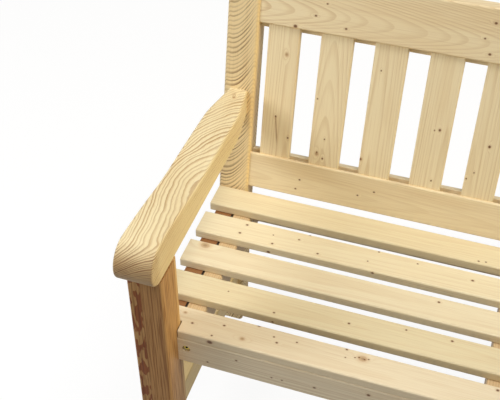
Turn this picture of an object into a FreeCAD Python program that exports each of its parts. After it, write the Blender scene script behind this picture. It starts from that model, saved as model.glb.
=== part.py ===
import FreeCAD, Part
import math
import os

# Garden bench of planed softwood: two glued side frames, a bolted seat unit and a bolted back.
# Millimetres, +Z up, +X along the bench, +Y towards the back.
# The origin is on the floor, under the middle of the bench's length and depth.

Vec = FreeCAD.Vector

# Overall size; the length is over the armrests
overall_length = 1503.0
seat_height = 440.0

# Seat slats
slat_count = 5
slat_width = 70.0
slat_gap = 30.0
slat_thickness = 24.0
slat_round = 4.0
slat_end_inset = 5.0

# Front legs
leg_width = 76.5
leg_depth = 78.0
leg_round = 6.0
leg_ahead_of_seat = 51.0
foot_chamfer = 3.0

# Rear posts: one sawn piece each, leaning a little below the seat and more above it
post_width = 74.0
post_depth = 58.0
post_round = 8.0
back_rake = 11.0
foot_rake = 5.0
post_bend_below_seat = 112.0
post_bend_radius = 160.0
post_above_top_rail = 4.0

# Armrests: side outline, then plan outline
arm_above_seat = 200.5
arm_nose_ahead_of_leg = 33.0
arm_nose_height = 89.5
arm_nose_tip_height = 37.0
arm_crest_from_nose = 118.0
arm_crest_height = 85.2
arm_crest_blend = 36.0
arm_waist_from_nose = 249.0
arm_waist_height = 70.4
arm_waist_blend = 50.0
arm_swell_from_nose = 415.0
arm_swell_height = 69.0
arm_swell_blend = 50.0
arm_end_height = 60.0
arm_inset_from_leg = 2.0
arm_overhang_front = 8.5
arm_overhang_waist = 3.0
arm_inset_at_post = 15.0
arm_taper_from_nose = 505.0
arm_taper_blend = 22.0
arm_round = 5.0

# Side rails, seat bearers and low stretchers share one planed timber
timber_thickness = 45.0
timber_height = 70.0
timber_round = 3.0
rail_inset_from_leg = 14.0
stretcher_top_below_seat = 254.0

# Aprons
apron_thickness = 28.0
front_apron_height = 75.0
rear_apron_height = 70.0
rear_apron_under_slat = 3.0
apron_round = 3.0

# Back rails and back slats
back_rail_thickness = 40.0
bottom_rail_height = 95.0
top_rail_height = 120.0
bottom_rail_above_seat = 6.0
back_opening = 333.0
back_rail_setback = 7.0
back_rail_round = 4.0
groove_lip = 8.0
groove_lip_round = 2.0
groove_depth = 22.0
top_rail_rear_lip_drop = 17.0
back_slat_count = 11
back_slat_width = 74.0
back_slat_thickness = 16.0
back_slat_round = 2.5
back_slat_end_gap = 21.0

# Clearances
notch_clearance = 2.0
post_clearance = 1.0
groove_clearance = 0.2
bore_clearance = 0.3
depth_clearance = 1.0
same_point = 0.0001

# Joint hardware
dowel_diameter = 10.0
dowel_length = 60.0
dowel_chamfer = 1.0
bolt_diameter = 8.0
bolt_head_diameter = 13.0
bolt_head_height = 8.0
bolt_socket_width = 6.0
bolt_socket_depth = 5.0
counterbore_diameter = 18.0
counterbore_depth = 12.0
bolt_below_seat = 54.0
apron_bolt_from_end = 19.0
barrel_nut_diameter = 12.0
barrel_nut_length = 22.0
barrel_nut_from_end = 46.0
bolt_past_nut = 6.0
sleeve_nut_diameter = 11.0
sleeve_nut_flange_diameter = 16.0
sleeve_nut_flange_thickness = 3.0
sleeve_nut_length = 30.0
screw_diameter = 4.5
screw_head_diameter = 8.5
screw_head_height = 3.0
screw_bite = 16.0
screw_pocket_diameter = 10.0
screw_pocket_depth = 35.0
screw_from_bolt = 14.0

# Where the hardware sits in its joints
dowel_spread = 18.0
arm_dowel_spread = 15.0
side_bolt_gaps = (2, 3)
side_bolt_into_rail = 36.0
bottom_rail_dowel_height = 22.0
bottom_rail_bolt_height = 50.0
top_rail_bolt_height = 60.0
top_rail_dowel_height = 96.0

# Derived places, first measured from the front edge of the seat
slat_pitch = slat_width + slat_gap
seat_depth = slat_count * slat_width + (slat_count - 1) * slat_gap
rake = math.radians(back_rake)
low_rake = math.radians(foot_rake)
post_set_back = seat_depth + post_clearance + slat_thickness * math.tan(rake)
top_rail_start = bottom_rail_above_seat + bottom_rail_height + back_opening
post_reach = top_rail_start + top_rail_height + post_above_top_rail
nose_reach = leg_ahead_of_seat + arm_nose_ahead_of_leg
corner_reach = post_reach * math.sin(rake) + post_depth * math.cos(rake)
corner_loss = post_round * (math.sin(rake) + math.cos(rake) - 1.0)
rear_reach = post_set_back + corner_reach - corner_loss

# The same places in the bench's own frame
seat_front = (nose_reach - rear_reach) / 2.0
seat_under = seat_height - slat_thickness
leg_outer = overall_length / 2.0 - arm_overhang_front
leg_inner = leg_outer - leg_width
slat_end = leg_outer - slat_end_inset
leg_front = seat_front - leg_ahead_of_seat
leg_rear = leg_front + leg_depth
leg_middle = leg_outer - leg_width / 2.0
post_outer = leg_outer
post_inner = post_outer - post_width
post_middle = post_outer - post_width / 2.0
post_front = seat_front + post_set_back
rail_inner = leg_inner + rail_inset_from_leg
rail_outer = rail_inner + timber_thickness
bearer_inner = rail_inner - timber_thickness
arm_under = seat_height + arm_above_seat
arm_nose = leg_front - arm_nose_ahead_of_leg
arm_inner = leg_inner + arm_inset_from_leg
front_apron_rear = seat_front + apron_thickness
rear_apron_front = seat_front + seat_depth - rear_apron_under_slat
bolt_height = seat_height - bolt_below_seat
stretcher_top = seat_height - stretcher_top_below_seat
timber_under = seat_under - timber_height
rail_middle = rail_inner + timber_thickness / 2.0


def rounded_face(corners):
    """A flat face inside (point, radius) corners, with an arc wherever the radius is not zero.

    Arcs that meet need no straight between them.
    """
    edges = []
    first = last = None
    for index, (point, radius) in enumerate(corners):
        before = corners[index - 1][0]
        after = corners[(index + 1) % len(corners)][0]
        back = (before - point).normalize()
        ahead = (after - point).normalize()
        half_angle = back.getAngle(ahead) / 2.0
        run = radius / math.tan(half_angle)
        start = point + back * run
        end = point + ahead * run
        if last is None:
            first = start
        elif (start - last).Length > same_point:
            edges.append(Part.makeLine(last, start))
        if radius > 0.0:
            middle = (back + ahead).normalize() * (radius / math.sin(half_angle) - radius)
            edges.append(Part.Arc(start, point + middle, end).toShape())
        last = end
    if (first - last).Length > same_point:
        edges.append(Part.makeLine(last, first))
    return Part.Face(Part.Wire(edges))


def blended_face(corners):
    """A flat face inside (point, run) corners; each corner's arc starts and ends a run away from it."""
    rounded = []
    for index, (point, run) in enumerate(corners):
        back = corners[index - 1][0] - point
        ahead = corners[(index + 1) % len(corners)][0] - point
        rounded.append((point, run * math.tan(back.getAngle(ahead) / 2.0)))
    return rounded_face(rounded)


def bar_along_x(x, y, z, radius):
    """A bar between the x, y and z limits, its four edges along X rounded."""
    corners = [Vec(x[0], y[0], z[0]), Vec(x[0], y[1], z[0]), Vec(x[0], y[1], z[1]), Vec(x[0], y[0], z[1])]
    return rounded_face([(corner, radius) for corner in corners]).extrude(Vec(x[1] - x[0], 0, 0))


def bar_along_y(x, y, z, radius):
    """A bar between the x, y and z limits, its four edges along Y rounded."""
    corners = [Vec(x[0], y[0], z[0]), Vec(x[1], y[0], z[0]), Vec(x[1], y[0], z[1]), Vec(x[0], y[0], z[1])]
    return rounded_face([(corner, radius) for corner in corners]).extrude(Vec(0, y[1] - y[0], 0))


def bar_along_z(x, y, z, radius):
    """A bar between the x, y and z limits, its four edges along Z rounded."""
    corners = [Vec(x[0], y[0], z[0]), Vec(x[1], y[0], z[0]), Vec(x[1], y[1], z[0]), Vec(x[0], y[1], z[0])]
    return rounded_face([(corner, radius) for corner in corners]).extrude(Vec(0, 0, z[1] - z[0]))


def block(x, y, z):
    """A plain square-edged block between the x, y and z limits."""
    return Part.makeBox(x[1] - x[0], y[1] - y[0], z[1] - z[0], Vec(x[0], y[0], z[0]))


def rod(start, direction, length, diameter):
    """A plain round rod or hole."""
    return Part.makeCylinder(diameter / 2.0, length, start, direction)


def loose(diameter):
    """The diameter of a hole that clears a round piece."""
    return diameter + 2.0 * bore_clearance


def mirrored(shape):
    """The same piece at the other end of the bench."""
    return shape.mirror(Vec(0, 0, 0), Vec(1, 0, 0))


def lean(shape):
    """Turns a piece of the back from upright to the slope of the posts."""
    leaning = shape.copy()
    leaning.rotate(Vec(0, post_front, seat_height), Vec(1, 0, 0), -back_rake)
    return leaning


def dowel(middle, direction):
    """A dowel with chamfered ends, centred on the joint face."""
    pin = rod(middle - direction * (dowel_length / 2.0), direction, dowel_length, dowel_diameter)
    ends = [edge for edge in pin.Edges if isinstance(edge.Curve, Part.Circle)]
    return pin.makeChamfer(dowel_chamfer, ends)


def dowel_hole(middle, direction):
    """The hole that takes a dowel with clearance round it and at both ends."""
    length = dowel_length + 2.0 * depth_clearance
    return rod(middle - direction * (length / 2.0), direction, length, loose(dowel_diameter))


def bolt(seat, direction, grip):
    """A hexagon-socket bolt: its head rests on seat and its shank runs along direction for grip."""
    head = rod(seat - direction * bolt_head_height, direction, bolt_head_height, bolt_head_diameter)
    shank = rod(seat, direction, grip, bolt_diameter)
    across = direction.cross(Vec(0, 0, 1)).normalize()
    upward = across.cross(direction)
    corner_radius = bolt_socket_width / math.sqrt(3.0)
    mouth = seat - direction * bolt_head_height
    corners = []
    for step in range(6):
        angle = math.radians(60.0 * step)
        spoke = across * math.cos(angle) + upward * math.sin(angle)
        corners.append((mouth + spoke * corner_radius, 0.0))
    socket = rounded_face(corners).extrude(direction * bolt_socket_depth)
    return head.fuse(shank).removeSplitter().cut(socket)


def bolt_hole(seat, direction, grip):
    """The counterbored hole for a bolt, open past the head."""
    sink = rod(seat - direction * counterbore_depth, direction, counterbore_depth, counterbore_diameter)
    shaft = rod(seat, direction, grip + depth_clearance, loose(bolt_diameter))
    return sink.fuse(shaft)


def barrel_nut(centre, axis, bolt_axis):
    """A round cross nut with a hole through its middle for the bolt."""
    start = centre - axis * (barrel_nut_length / 2.0)
    body = rod(start, axis, barrel_nut_length, barrel_nut_diameter)
    hole_start = centre - bolt_axis * barrel_nut_diameter
    return body.cut(rod(hole_start, bolt_axis, 2.0 * barrel_nut_diameter, loose(bolt_diameter)))


def barrel_nut_hole(centre, axis, mouth_distance):
    """The blind cross hole for a barrel nut, reaching out along axis to the piece's face."""
    start = centre - axis * (barrel_nut_length / 2.0 + depth_clearance)
    length = barrel_nut_length / 2.0 + depth_clearance + mouth_distance
    return rod(start, axis, length, loose(barrel_nut_diameter))


def sleeve_nut(face, direction):
    """A flanged sleeve nut let into a face, its barrel pointing along direction."""
    flange = rod(face, direction, sleeve_nut_flange_thickness, sleeve_nut_flange_diameter)
    barrel = rod(face, direction, sleeve_nut_length, sleeve_nut_diameter)
    bore_start = face + direction * sleeve_nut_flange_thickness
    return flange.fuse(barrel).cut(rod(bore_start, direction, sleeve_nut_length, loose(bolt_diameter)))


def sleeve_nut_hole(face, direction):
    """The stepped hole for a sleeve nut."""
    sink = rod(face, direction, sleeve_nut_flange_thickness, loose(sleeve_nut_flange_diameter))
    barrel = rod(face, direction, sleeve_nut_length + depth_clearance, loose(sleeve_nut_diameter))
    return sink.fuse(barrel)


def cut_all(shape, tools):
    """The shape with every tool taken away."""
    return shape.cut(Part.makeCompound(tools))


along_x = Vec(1, 0, 0)
along_y = Vec(0, 1, 0)
along_z = Vec(0, 0, 1)


# Rear post: side outline with the bend, rounded long edges

uphill = Vec(0, math.sin(rake), math.cos(rake))
rearward = Vec(0, math.cos(rake), -math.sin(rake))
pivot = Vec(0, post_front, seat_height)
bend_front = pivot - uphill * (post_bend_below_seat / math.cos(rake))
bend_middle = (rake + low_rake) / 2.0
bend_across = post_depth / math.cos((rake - low_rake) / 2.0)
bend_rear = bend_front + Vec(0, math.cos(bend_middle), -math.sin(bend_middle)) * bend_across
foot_front = bend_front - Vec(0, math.tan(low_rake), 1.0) * bend_front.z
foot_rear = foot_front + along_y * (post_depth / math.cos(low_rake))
top_front = pivot + uphill * post_reach
top_rear = top_front + rearward * post_depth


def post_face_y(height):
    """Where the front face of a post is at a height."""
    if height > bend_front.z:
        return post_front + (height - seat_height) * math.tan(rake)
    return bend_front.y + (height - bend_front.z) * math.tan(low_rake)


def behind_posts():
    """Everything behind the front faces of the posts, for trimming what butts against them."""
    beyond = overall_length
    below_foot = foot_front - Vec(0, math.tan(low_rake), 1.0)
    above_top = top_front + uphill
    face = rounded_face([
        (below_foot, 0.0),
        (bend_front, post_bend_radius + post_depth),
        (above_top, 0.0),
        (above_top + along_y * beyond, 0.0),
        (below_foot + along_y * beyond, 0.0)])
    face.translate(Vec(-beyond, 0, 0))
    return face.extrude(Vec(2.0 * beyond, 0, 0))


def rear_post():
    """One sawn post: the bend is below the seat and the top is cut square to the slope."""
    front = [(foot_front, 0.0), (bend_front, post_bend_radius + post_depth), (top_front, 0.0)]
    rear = [(top_rear, 0.0), (bend_rear, post_bend_radius), (foot_rear, 0.0)]
    side = rounded_face(front + rear)
    side.translate(Vec(post_inner, 0, 0))
    post = side.extrude(Vec(post_width, 0, 0))
    long_edges = []
    for edge in post.Edges:
        box = edge.BoundBox
        across = box.XLength > post_width / 2.0
        at_foot = box.ZMax < foot_chamfer
        at_top = box.ZMin > top_rear.z - post_round
        if not at_foot and (at_top or not across):
            long_edges.append(edge)
    return post.makeFillet(post_round, long_edges)


def front_leg():
    """A square leg up to the armrest, with a chamfered foot."""
    leg = bar_along_z((leg_inner, leg_outer), (leg_front, leg_rear), (0.0, arm_under), leg_round)
    foot = [edge for edge in leg.Edges if edge.BoundBox.ZMax < foot_chamfer]
    return leg.makeChamfer(foot_chamfer, foot)


def side_timber(top, inner):
    """A rail or stretcher from the front leg to the sloping front face of the post."""
    reach = post_front + post_depth
    width = (inner, inner + timber_thickness)
    timber = bar_along_y(width, (leg_rear, reach), (top - timber_height, top), timber_round)
    return timber.cut(behind_posts())


def armrest():
    """The side outline crossed with the plan outline, all its long edges rounded, trimmed to the post."""
    post_y = post_face_y(arm_under + arm_end_height)
    end = post_y + 2.0 * arm_round
    fall = (arm_swell_height - arm_end_height) / (post_y - arm_nose - arm_swell_from_nose)
    end_height = arm_end_height - fall * (end - post_y)
    side = blended_face([
        (Vec(0, arm_nose, arm_under), arm_nose_tip_height),
        (Vec(0, arm_nose, arm_under + arm_nose_height), arm_nose_height - arm_nose_tip_height),
        (Vec(0, arm_nose + arm_crest_from_nose, arm_under + arm_crest_height), arm_crest_blend),
        (Vec(0, arm_nose + arm_waist_from_nose, arm_under + arm_waist_height), arm_waist_blend),
        (Vec(0, arm_nose + arm_swell_from_nose, arm_under + arm_swell_height), arm_swell_blend),
        (Vec(0, end, arm_under + end_height), 0.0),
        (Vec(0, end, arm_under), 0.0)])
    side.translate(Vec(leg_inner - leg_width, 0, 0))
    slab = side.extrude(Vec(3.0 * leg_width, 0, 0))
    taper_y = arm_nose + arm_taper_from_nose
    inner_at_post = post_inner + arm_inset_at_post
    outer_at_post = post_outer - arm_inset_at_post
    inner_slope = (inner_at_post - arm_inner) / (post_y - taper_y)
    outer_waist = leg_outer + arm_overhang_waist
    outer_slope = (outer_at_post - outer_waist) / (post_y - taper_y)
    plan = blended_face([
        (Vec(arm_inner, arm_nose, arm_under), 0.0),
        (Vec(leg_outer + arm_overhang_front, arm_nose, arm_under), 0.0),
        (Vec(outer_waist, taper_y, arm_under), arm_taper_blend),
        (Vec(outer_at_post + outer_slope * (end - post_y), end, arm_under), 0.0),
        (Vec(inner_at_post + inner_slope * (end - post_y), end, arm_under), 0.0),
        (Vec(arm_inner, taper_y, arm_under), arm_taper_blend)])
    column = plan.extrude(Vec(0, 0, 2.0 * arm_nose_height))
    arm = slab.common(column)
    sides = []
    for edge in arm.Edges:
        box = edge.BoundBox
        across = box.YLength < arm_round and box.XLength > arm_round
        if not across and box.YMin < end - arm_round:
            sides.append(edge)
    return arm.makeFillet(arm_round, sides).cut(behind_posts())


# Back rails and slats, drawn upright on the line of the posts and then leaned

rail_front = post_front + back_rail_setback
rail_rear = rail_front + back_rail_thickness
rail_centre = (rail_front + rail_rear) / 2.0
groove_front = rail_front + groove_lip
groove_rear = groove_front + back_slat_thickness + 2.0 * groove_clearance
bottom_rail_foot = seat_height + bottom_rail_above_seat
bottom_rail_top = bottom_rail_foot + bottom_rail_height
groove_floor = bottom_rail_top - groove_depth
top_rail_lip = seat_height + top_rail_start
top_rail_top = top_rail_lip + top_rail_height
groove_roof = top_rail_lip + groove_depth


def rail_between_posts(corners):
    """A rail of one outline from post to post."""
    face = rounded_face([(Vec(-post_inner, y, z), radius) for y, z, radius in corners])
    return face.extrude(Vec(2.0 * post_inner, 0, 0))


def bottom_back_rail():
    """The bottom rail, grooved along its top edge for the slats."""
    return rail_between_posts([
        (rail_front, bottom_rail_foot, back_rail_round),
        (rail_rear, bottom_rail_foot, back_rail_round),
        (rail_rear, bottom_rail_top, back_rail_round),
        (groove_rear, bottom_rail_top, groove_lip_round),
        (groove_rear, groove_floor, 0.0),
        (groove_front, groove_floor, 0.0),
        (groove_front, bottom_rail_top, groove_lip_round),
        (rail_front, bottom_rail_top, back_rail_round)])


def top_back_rail():
    """The top rail, grooved along its underside, with a rear lip that reaches lower than the front one."""
    rear_lip = top_rail_lip - top_rail_rear_lip_drop
    return rail_between_posts([
        (rail_front, top_rail_lip, back_rail_round),
        (rail_front, top_rail_top, back_rail_round),
        (rail_rear, top_rail_top, back_rail_round),
        (rail_rear, rear_lip, back_rail_round),
        (groove_rear, rear_lip, groove_lip_round),
        (groove_rear, groove_roof, 0.0),
        (groove_front, groove_roof, 0.0),
        (groove_front, top_rail_lip, groove_lip_round)])


def back_slat(index):
    """One back slat, standing on the groove's floor and reaching up into the top rail."""
    first = -post_inner + back_slat_end_gap
    pitch = (-2.0 * first - back_slat_width) / (back_slat_count - 1)
    start = first + index * pitch
    depth = (groove_front + groove_clearance, groove_rear - groove_clearance)
    height = (groove_floor, groove_roof - depth_clearance)
    return bar_along_z((start, start + back_slat_width), depth, height, back_slat_round)


# Seat pieces

def seat_slat(index):
    """One seat slat over the whole length; the front one is notched round the legs."""
    front = seat_front + index * slat_pitch
    height = (seat_under, seat_height)
    slat = bar_along_x((-slat_end, slat_end), (front, front + slat_width), height, slat_round)
    if index > 0:
        return slat
    notch = block((leg_inner - notch_clearance, leg_outer), (leg_front, leg_rear + notch_clearance), height)
    return slat.cut(notch).cut(mirrored(notch))


def seat_bearer(inner):
    """A bearer under the slats, from the front apron to the rear apron, trimmed to clear the post."""
    span = (front_apron_rear, rear_apron_front)
    bearer = bar_along_y((inner, inner + timber_thickness), span, (timber_under, seat_under), timber_round)
    beside_post = block((post_inner - notch_clearance, post_outer), span, (timber_under, seat_under))
    post_room = behind_posts().translated(Vec(0, -notch_clearance, 0)).common(beside_post)
    return bearer.cut(post_room)


def front_apron():
    """The apron under the front slat, between the legs and flush with the slat's edge."""
    span = (seat_front, front_apron_rear)
    height = (seat_under - front_apron_height, seat_under)
    return bar_along_x((-leg_inner, leg_inner), span, height, apron_round)


def rear_apron():
    """The apron between the posts, behind the bearers."""
    span = (rear_apron_front, rear_apron_front + apron_thickness)
    height = (seat_under - rear_apron_height, seat_under)
    return bar_along_x((-post_inner, post_inner), span, height, apron_round)


# Side frame dowels

def side_dowel_places():
    """The middle of each dowel of one side and the way it points."""
    places = []
    leg_centre = leg_front + leg_depth / 2.0
    arm_end = arm_under + arm_end_height / 2.0
    for way in (-1.0, 1.0):
        places.append((Vec(leg_middle, leg_centre + way * dowel_spread, arm_under), along_z))
        height = arm_end + way * arm_dowel_spread
        places.append((Vec(post_middle, post_face_y(height), height), along_y))
        for top in (seat_under, stretcher_top):
            height = top - timber_height / 2.0 + way * dowel_spread
            places.append((Vec(rail_middle, leg_rear, height), along_y))
            places.append((Vec(rail_middle, post_face_y(height), height), along_y))
    return places


side_dowels = [dowel(*place) for place in side_dowel_places()]
side_dowel_holes = [dowel_hole(*place) for place in side_dowel_places()]

# Back rail hardware of one side, upright first

back_dowels = []
back_dowel_holes = []
for height in (bottom_rail_foot + bottom_rail_dowel_height, top_rail_lip + top_rail_dowel_height):
    place = Vec(post_inner, rail_centre, height)
    back_dowels.append(lean(dowel(place, along_x)))
    back_dowel_holes.append(lean(dowel_hole(place, along_x)))

back_bolts = []
back_bolt_holes = []
back_nuts = []
back_nut_holes = []
nut_grip = barrel_nut_from_end + barrel_nut_diameter / 2.0 + bolt_past_nut
for height in (bottom_rail_foot + bottom_rail_bolt_height, top_rail_lip + top_rail_bolt_height):
    head_seat = Vec(post_outer - counterbore_depth, rail_centre, height)
    grip = post_width - counterbore_depth + nut_grip
    back_bolts.append(lean(bolt(head_seat, -along_x, grip)))
    back_bolt_holes.append(lean(bolt_hole(head_seat, -along_x, grip)))
    nut_centre = Vec(post_inner - barrel_nut_from_end, rail_centre, height)
    back_nuts.append(lean(barrel_nut(nut_centre, along_y, along_x)))
    back_nut_holes.append(lean(barrel_nut_hole(nut_centre, along_y, back_rail_thickness)))

# Apron bolts: one through each apron into each end of the three bearers

side_bolt_x = leg_inner - apron_bolt_from_end
bearer_bolts = (-side_bolt_x, 0.0, side_bolt_x)
apron_grip = apron_thickness - counterbore_depth + nut_grip
apron_bolts = []
apron_bolt_holes = []
apron_nuts = []
apron_nut_holes = []
for bolt_x in bearer_bolts:
    nut_axis = along_x if bolt_x < 0.0 else -along_x
    for bearer_end, way in ((front_apron_rear, along_y), (rear_apron_front, -along_y)):
        joint = Vec(bolt_x, bearer_end, bolt_height)
        head_seat = joint - way * (apron_thickness - counterbore_depth)
        apron_bolts.append(bolt(head_seat, way, apron_grip))
        apron_bolt_holes.append(bolt_hole(head_seat, way, apron_grip))
        nut_centre = joint + way * barrel_nut_from_end
        apron_nuts.append(barrel_nut(nut_centre, nut_axis, along_y))
        apron_nut_holes.append(barrel_nut_hole(nut_centre, nut_axis, timber_thickness))

# Side frame bolts of one side: bearer to side rail, with a sleeve nut in the rail's outer face

side_bolts = []
side_bolt_holes = []
sleeve_nuts = []
sleeve_nut_holes = []
for gap in side_bolt_gaps:
    bolt_y = seat_front + gap * slat_pitch - slat_gap / 2.0
    middle_z = seat_under - timber_height / 2.0
    head_seat = Vec(bearer_inner + counterbore_depth, bolt_y, middle_z)
    grip = timber_thickness - counterbore_depth + side_bolt_into_rail
    side_bolts.append(bolt(head_seat, along_x, grip))
    side_bolt_holes.append(bolt_hole(head_seat, along_x, grip))
    nut_face = Vec(rail_outer, bolt_y, middle_z)
    sleeve_nuts.append(sleeve_nut(nut_face, -along_x))
    sleeve_nut_holes.append(sleeve_nut_hole(nut_face, -along_x))

# Slat screws: one through each bearer into the middle of each slat, its head deep in a pocket

slat_screws = []
slat_screw_holes = []
for bolt_x in bearer_bolts:
    screw_x = bolt_x - screw_from_bolt if bolt_x < 0.0 else bolt_x + screw_from_bolt
    for index in range(slat_count):
        screw_y = seat_front + index * slat_pitch + slat_width / 2.0
        foot = Vec(screw_x, screw_y, timber_under)
        head_seat = foot + along_z * screw_pocket_depth
        length = timber_height - screw_pocket_depth + screw_bite
        head = rod(head_seat - along_z * screw_head_height, along_z, screw_head_height, screw_head_diameter)
        slat_screws.append(head.fuse(rod(head_seat, along_z, length, screw_diameter)))
        pocket = rod(foot, along_z, screw_pocket_depth, screw_pocket_diameter)
        shaft = rod(head_seat, along_z, length + depth_clearance, loose(screw_diameter))
        slat_screw_holes.append(pocket.fuse(shaft))


def both_sides(pieces):
    """The pieces of one side together with their twins at the other end."""
    return pieces + [mirrored(piece) for piece in pieces]


# Assembly: every solid gets its own node; like fasteners share one

side_frame_cuts = side_dowel_holes + side_bolt_holes + sleeve_nut_holes
back_cuts = both_sides(back_dowel_holes + back_bolt_holes + back_nut_holes)
seat_cuts = apron_bolt_holes + apron_nut_holes + slat_screw_holes + both_sides(side_bolt_holes)

nodes = {}
right_side = {
    "front_leg": cut_all(front_leg(), side_frame_cuts),
    "rear_post": cut_all(rear_post(), side_frame_cuts + back_dowel_holes + back_bolt_holes),
    "armrest": cut_all(armrest(), side_frame_cuts),
    "side_rail": cut_all(side_timber(seat_under, rail_inner), side_frame_cuts),
    "low_stretcher": cut_all(side_timber(stretcher_top, rail_inner), side_frame_cuts),
    "seat_bearer": cut_all(seat_bearer(bearer_inner), seat_cuts),
}
for name, piece in right_side.items():
    nodes["right_" + name] = piece
    nodes["left_" + name] = mirrored(piece)
nodes["middle_seat_bearer"] = cut_all(seat_bearer(-timber_thickness / 2.0), seat_cuts)
nodes["front_apron"] = cut_all(front_apron(), apron_bolt_holes)
nodes["rear_apron"] = cut_all(rear_apron(), apron_bolt_holes)
for index in range(slat_count):
    nodes["seat_slat_%d" % (index + 1)] = cut_all(seat_slat(index), slat_screw_holes)
nodes["bottom_back_rail"] = cut_all(lean(bottom_back_rail()), back_cuts)
nodes["top_back_rail"] = cut_all(lean(top_back_rail()), back_cuts)
for index in range(back_slat_count):
    nodes["back_slat_%02d" % (index + 1)] = lean(back_slat(index))
nodes["side_frame_dowels"] = Part.makeCompound(both_sides(side_dowels))
nodes["back_rail_dowels"] = Part.makeCompound(both_sides(back_dowels))
nodes["apron_bolts"] = Part.makeCompound(apron_bolts)
nodes["apron_barrel_nuts"] = Part.makeCompound(apron_nuts)
nodes["side_frame_bolts"] = Part.makeCompound(both_sides(side_bolts))
nodes["side_frame_sleeve_nuts"] = Part.makeCompound(both_sides(sleeve_nuts))
nodes["back_rail_bolts"] = Part.makeCompound(both_sides(back_bolts))
nodes["back_rail_barrel_nuts"] = Part.makeCompound(both_sides(back_nuts))
nodes["seat_slat_screws"] = Part.makeCompound(slat_screws)

os.makedirs("parts", exist_ok=True)
for name, shape in nodes.items():
    shape.exportStep("parts/%s.step" % name)
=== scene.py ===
import math
import random

import bmesh
import bpy
from mathutils import Matrix, Vector


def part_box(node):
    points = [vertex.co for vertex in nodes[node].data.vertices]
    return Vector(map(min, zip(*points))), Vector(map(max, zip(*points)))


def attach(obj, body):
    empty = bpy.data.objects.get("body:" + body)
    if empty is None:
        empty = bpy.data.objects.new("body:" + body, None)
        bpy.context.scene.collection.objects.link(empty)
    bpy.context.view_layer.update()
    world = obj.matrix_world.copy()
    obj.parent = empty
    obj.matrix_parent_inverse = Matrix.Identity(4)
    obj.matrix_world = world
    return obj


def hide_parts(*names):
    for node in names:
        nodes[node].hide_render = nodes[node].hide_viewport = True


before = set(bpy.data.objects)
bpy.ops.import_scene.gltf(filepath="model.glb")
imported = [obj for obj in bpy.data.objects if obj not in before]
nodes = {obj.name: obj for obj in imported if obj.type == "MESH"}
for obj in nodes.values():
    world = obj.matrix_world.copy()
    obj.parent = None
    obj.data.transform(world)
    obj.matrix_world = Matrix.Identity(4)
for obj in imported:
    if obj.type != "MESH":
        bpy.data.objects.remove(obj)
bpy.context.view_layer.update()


# Front legs
# Square pine posts, planed on four sides with their long edges rounded. They are brown heartwood, with a
# blotchy red streak up the outer front edge. Armrest, side rail and stretcher are dowelled on.

class Wire:
    """A shader value; arithmetic on it adds Math nodes to the finish that it belongs to."""

    def __init__(self, finish, socket):
        self.finish = finish
        self.socket = socket

    def math(self, operation, *others):
        return self.finish.node("ShaderNodeMath", {"operation": operation}, (self, *others))

    def __add__(self, other):
        return self.math("ADD", other)

    def __sub__(self, other):
        return self.math("SUBTRACT", other)

    def __rsub__(self, other):
        return self.finish.node("ShaderNodeMath", {"operation": "SUBTRACT"}, (other, self))

    def __mul__(self, other):
        return self.math("MULTIPLY", other)

    def __truediv__(self, other):
        return self.math("DIVIDE", other)

    __radd__ = __add__
    __rmul__ = __mul__

    def rise(self, low, high):
        """0 at low and 1 at high, with a smooth change between; low may be the larger."""
        settings = {"interpolation_type": "SMOOTHSTEP"}
        limits = {"Value": self, "From Min": low, "From Max": high}
        return self.finish.node("ShaderNodeMapRange", settings, limits)


class Finish:
    """A material in the making; node() adds any node and returns one of its outputs as a Wire."""

    def __init__(self, owner):
        owner.use_nodes = True
        self.owner = owner
        self.tree = owner.node_tree

    def feed(self, socket, value):
        if isinstance(value, Wire):
            self.tree.links.new(value.socket, socket)
        elif socket.type == "RGBA":
            socket.default_value = (*value, 1.0)
        else:
            socket.default_value = value

    def node(self, kind, settings, inputs, output=0):
        made = self.tree.nodes.new(kind)
        for name, value in settings.items():
            setattr(made, name, value)
        pairs = inputs.items() if isinstance(inputs, dict) else enumerate(inputs)
        for key, value in pairs:
            self.feed(made.inputs[key], value)
        return Wire(self, made.outputs[output])

    def mix(self, share, below, above, way="MIX"):
        """One colour over another; share says how much of the upper one shows."""
        settings = {"data_type": "RGBA", "blend_type": way}
        return self.node("ShaderNodeMix", settings, {0: share, 6: below, 7: above}, 2)

    def vector(self, operation, *inputs):
        return self.node("ShaderNodeVectorMath", {"operation": operation}, inputs)

    def length(self, vector):
        return self.node("ShaderNodeVectorMath", {"operation": "LENGTH"}, (vector,), "Value")

    def dot(self, vector, other):
        return self.node("ShaderNodeVectorMath", {"operation": "DOT_PRODUCT"}, (vector, other), "Value")

    def part(self, vector, axis):
        return self.node("ShaderNodeSeparateXYZ", {}, {"Vector": vector}, axis)

    def noise(self, vector, grains, seed, detail, output="Fac"):
        """Soft noise with so many grains per metre along each axis."""
        spread = self.vector("MULTIPLY", vector, grains)
        inputs = {"Vector": spread, "W": seed, "Scale": 1.0, "Detail": detail}
        return self.node("ShaderNodeTexNoise", {"noise_dimensions": "4D"}, inputs, output)

    def surface(self, **inputs):
        """Feeds the main shader; an underscore in a name stands for a space."""
        shader = self.tree.nodes["Principled BSDF"]
        for name, value in inputs.items():
            self.feed(shader.inputs[name.replace("_", " ")], value)


def shade(red, green, blue):
    """A colour as a screen shows it, 0 to 255, turned into the linear values a shader uses."""
    linear = []
    for value in (red, green, blue):
        part = value / 255.0
        linear.append(part / 12.92 if part <= 0.04045 else ((part + 0.055) / 1.055) ** 2.4)
    return tuple(linear)


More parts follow.
